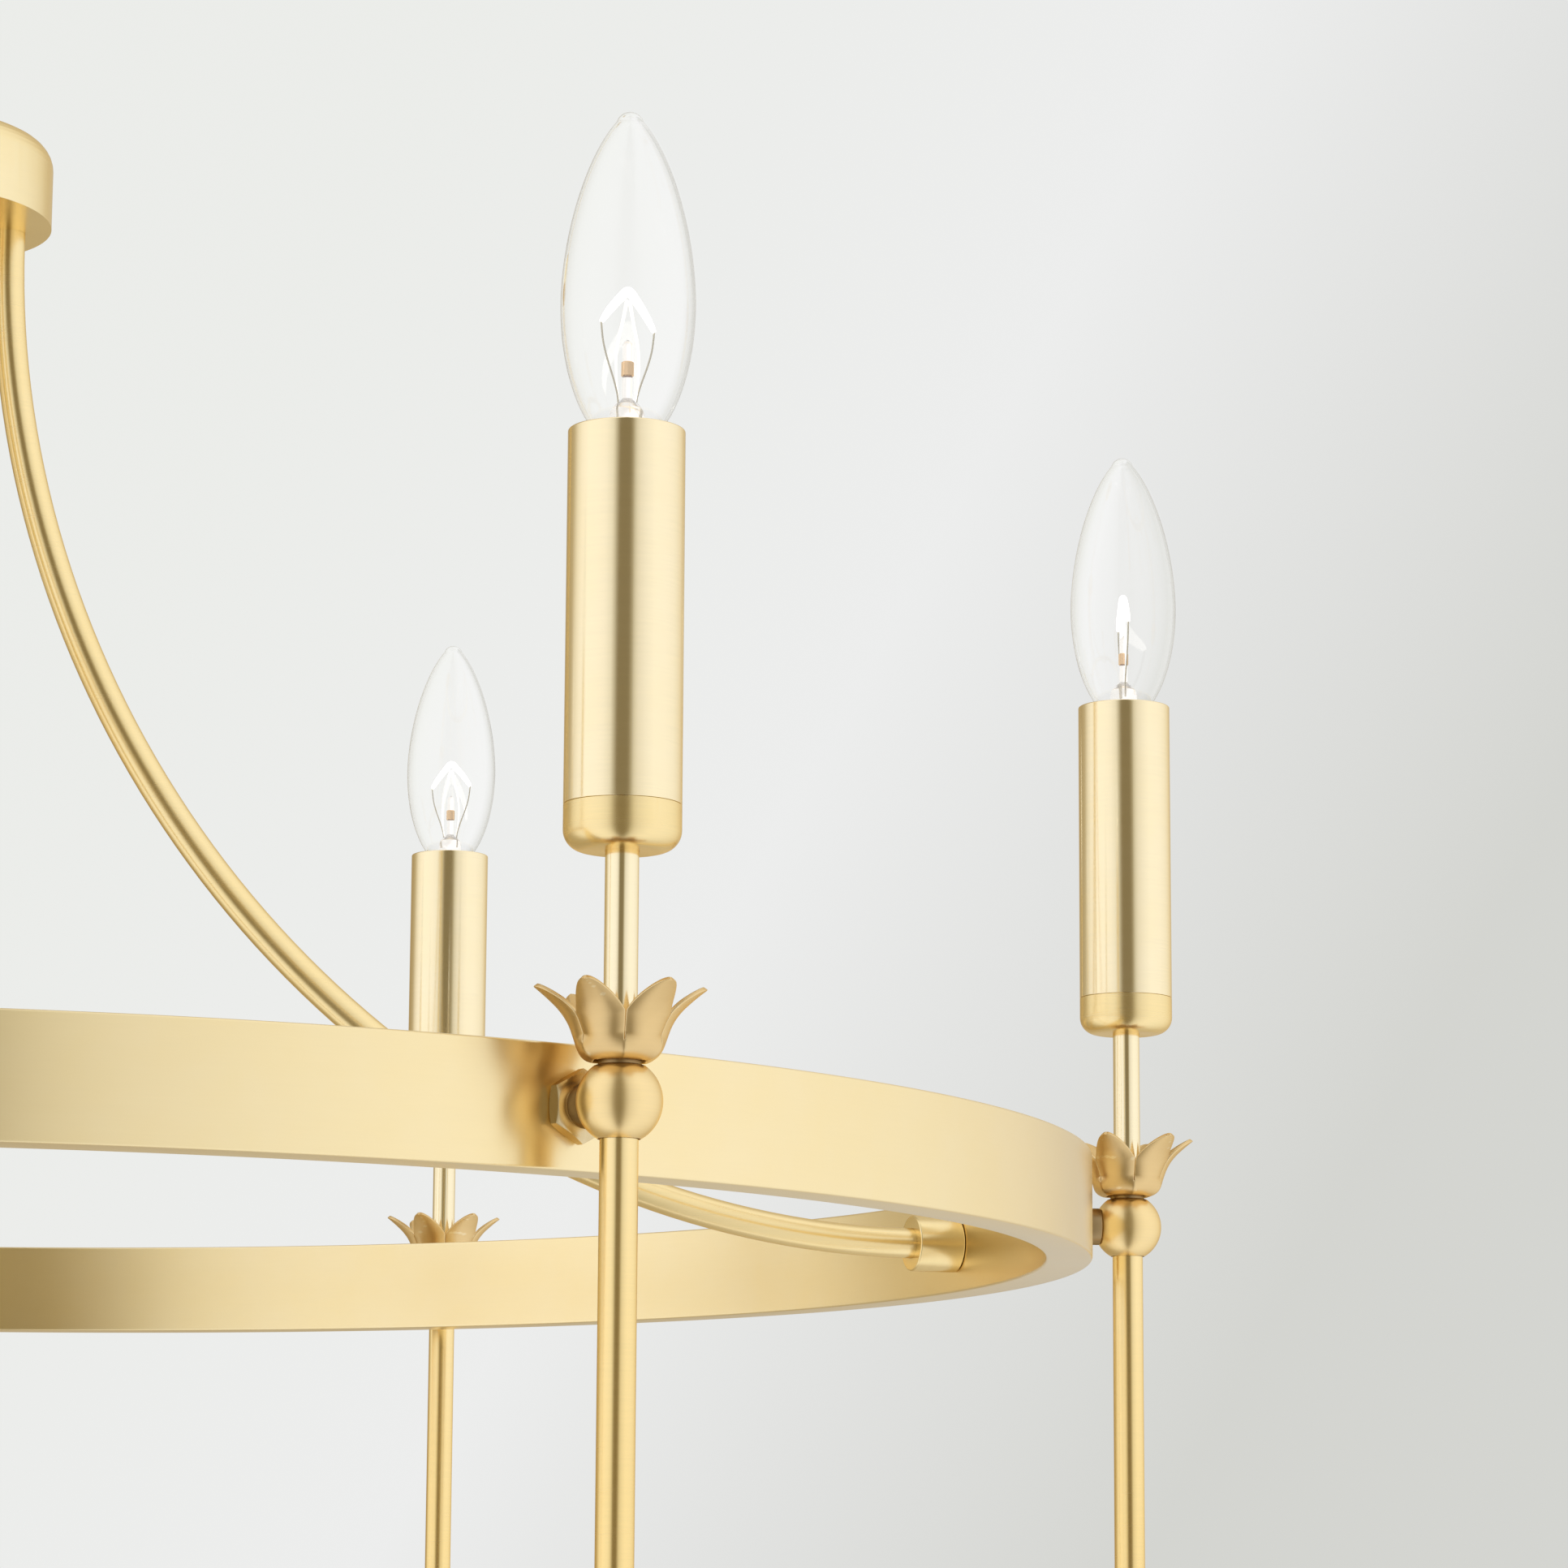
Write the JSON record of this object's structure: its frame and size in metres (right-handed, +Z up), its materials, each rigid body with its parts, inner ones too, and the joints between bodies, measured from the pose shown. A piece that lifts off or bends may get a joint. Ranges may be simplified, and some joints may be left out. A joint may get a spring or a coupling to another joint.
{
  "type": "multi arm chandelier",
  "caption": "Ring chandelier: candle arms with petal crowns and torpedo bulbs around a flat metal hoop, hung from a swivelling downrod.",
  "frame": {"origin": "centre of the mounting strap on the ceiling plane", "axes": "+Z up into the ceiling; +X along the strap and towards the first candle"},
  "size_m": [0.7872, 0.711, 1.1541],
  "materials": {
    "satin_brass": "satin brushed champagne brass",
    "sleeve_brass": "satin champagne brass, brushed round the tube",
    "crown_brass": "matte cast brass",
    "zinc_steel": "zinc plated",
    "nylon": "natural nylon",
    "wire_jacket": "smooth jacket",
    "socket_plastic": "moulded",
    "nickel_shell": "nickel plated",
    "bulb_glass": "clear"
  },
  "bodies": {
    "ceiling_mount": {"mounting_strap": "zinc_steel", "canopy_nipple": "zinc_steel", "nipple_nuts": "zinc_steel", "canopy": "satin_brass", "swivel_cap": "satin_brass", "swivel_housing": "satin_brass"},
    "swivel": {"swivel_seat": "nylon"},
    "fixture": {"swivel_ball": "zinc_steel", "rod_couplings": "satin_brass", "downrod": "satin_brass", "top_hub": "satin_brass", "centre_column": "satin_brass", "bottom_hub": "satin_brass", "bottom_cover": "satin_brass", "finial": "satin_brass", "main_lead": "wire_jacket", "ring": "satin_brass", "ring_studs": "zinc_steel", "ring_nuts": "satin_brass", "arm_spacers": "satin_brass", "arm_balls": "satin_brass", "inner_collars": "satin_brass", "inner_arm_1": "satin_brass", "inner_arm_2": "satin_brass", "inner_arm_3": "satin_brass", "arm_rod_1": "satin_brass", "arm_rod_2": "satin_brass", "arm_rod_3": "satin_brass", "arm_rod_4": "satin_brass", "arm_rod_5": "satin_brass", "arm_rod_6": "satin_brass", "arm_wires": "wire_jacket", "candle_stems": "satin_brass", "candle_cups": "satin_brass", "socket_bodies": "socket_plastic", "socket_shells": "nickel_shell", "petal_crown_1": "crown_brass", "petal_crown_2": "crown_brass", "petal_crown_3": "crown_brass", "petal_crown_4": "crown_brass", "petal_crown_5": "crown_brass", "petal_crown_6": "crown_brass", "candle_sleeve_1": "sleeve_brass", "candle_sleeve_2": "sleeve_brass", "candle_sleeve_3": "sleeve_brass", "candle_sleeve_4": "sleeve_brass", "candle_sleeve_5": "sleeve_brass", "candle_sleeve_6": "sleeve_brass"},
    "bulb_lift_1": {"bulb_base_1": "nickel_shell"},
    "bulb_1": {"bulb_glass_1": "bulb_glass"},
    "bulb_lift_2": {"bulb_base_2": "nickel_shell"},
    "bulb_2": {"bulb_glass_2": "bulb_glass"},
    "bulb_lift_3": {"bulb_base_3": "nickel_shell"},
    "bulb_3": {"bulb_glass_3": "bulb_glass"},
    "bulb_lift_4": {"bulb_base_4": "nickel_shell"},
    "bulb_4": {"bulb_glass_4": "bulb_glass"},
    "bulb_lift_5": {"bulb_base_5": "nickel_shell"},
    "bulb_5": {"bulb_glass_5": "bulb_glass"},
    "bulb_lift_6": {"bulb_base_6": "nickel_shell"},
    "bulb_6": {"bulb_glass_6": "bulb_glass"}
  },
  "joints": [
    {"name": "hanger_turn", "type": "hinge", "parent": "ceiling_mount", "child": "swivel", "pos_m": [0, 0, -0.04405], "axis": [0, 0, 1], "range_deg": [-175, 175]},
    {"name": "hanger_tilt", "type": "hinge", "parent": "swivel", "child": "fixture", "pos_m": [0, 0, -0.04405], "axis": [1, 0, 0], "range_deg": [-15, 15]},
    {"name": "bulb_1_lift", "type": "slide", "parent": "fixture", "child": "bulb_lift_1", "axis": [0, 0, 1], "range_m": [0, 0.0102]},
    {"name": "bulb_1_turn", "type": "hinge", "parent": "bulb_lift_1", "child": "bulb_1", "pos_m": [0.37315, 0, -0.54], "axis": [0, 0, 1], "range_deg": [0, 1440]},
    {"name": "bulb_2_lift", "type": "slide", "parent": "fixture", "child": "bulb_lift_2", "axis": [0, 0, 1], "range_m": [0, 0.0102]},
    {"name": "bulb_2_turn", "type": "hinge", "parent": "bulb_lift_2", "child": "bulb_2", "pos_m": [0.18657, 0.32316, -0.54], "axis": [0, 0, 1], "range_deg": [0, 1440]},
    {"name": "bulb_3_lift", "type": "slide", "parent": "fixture", "child": "bulb_lift_3", "axis": [0, 0, 1], "range_m": [0, 0.0102]},
    {"name": "bulb_3_turn", "type": "hinge", "parent": "bulb_lift_3", "child": "bulb_3", "pos_m": [-0.18657, 0.32316, -0.54], "axis": [0, 0, 1], "range_deg": [0, 1440]},
    {"name": "bulb_4_lift", "type": "slide", "parent": "fixture", "child": "bulb_lift_4", "axis": [0, 0, 1], "range_m": [0, 0.0102]},
    {"name": "bulb_4_turn", "type": "hinge", "parent": "bulb_lift_4", "child": "bulb_4", "pos_m": [-0.37315, 0, -0.54], "axis": [0, 0, 1], "range_deg": [0, 1440]},
    {"name": "bulb_5_lift", "type": "slide", "parent": "fixture", "child": "bulb_lift_5", "axis": [0, 0, 1], "range_m": [0, 0.0102]},
    {"name": "bulb_5_turn", "type": "hinge", "parent": "bulb_lift_5", "child": "bulb_5", "pos_m": [-0.18657, -0.32316, -0.54], "axis": [0, 0, 1], "range_deg": [0, 1440]},
    {"name": "bulb_6_lift", "type": "slide", "parent": "fixture", "child": "bulb_lift_6", "axis": [0, 0, 1], "range_m": [0, 0.0102]},
    {"name": "bulb_6_turn", "type": "hinge", "parent": "bulb_lift_6", "child": "bulb_6", "pos_m": [0.18657, -0.32316, -0.54], "axis": [0, 0, 1], "range_deg": [0, 1440]}
  ],
  "couplings": [
    {"joint": "bulb_1_lift", "follows": "bulb_1_turn", "m_per_rad": 0.00040425},
    {"joint": "bulb_2_lift", "follows": "bulb_2_turn", "m_per_rad": 0.00040425},
    {"joint": "bulb_3_lift", "follows": "bulb_3_turn", "m_per_rad": 0.00040425},
    {"joint": "bulb_4_lift", "follows": "bulb_4_turn", "m_per_rad": 0.00040425},
    {"joint": "bulb_5_lift", "follows": "bulb_5_turn", "m_per_rad": 0.00040425},
    {"joint": "bulb_6_lift", "follows": "bulb_6_turn", "m_per_rad": 0.00040425}
  ]
}
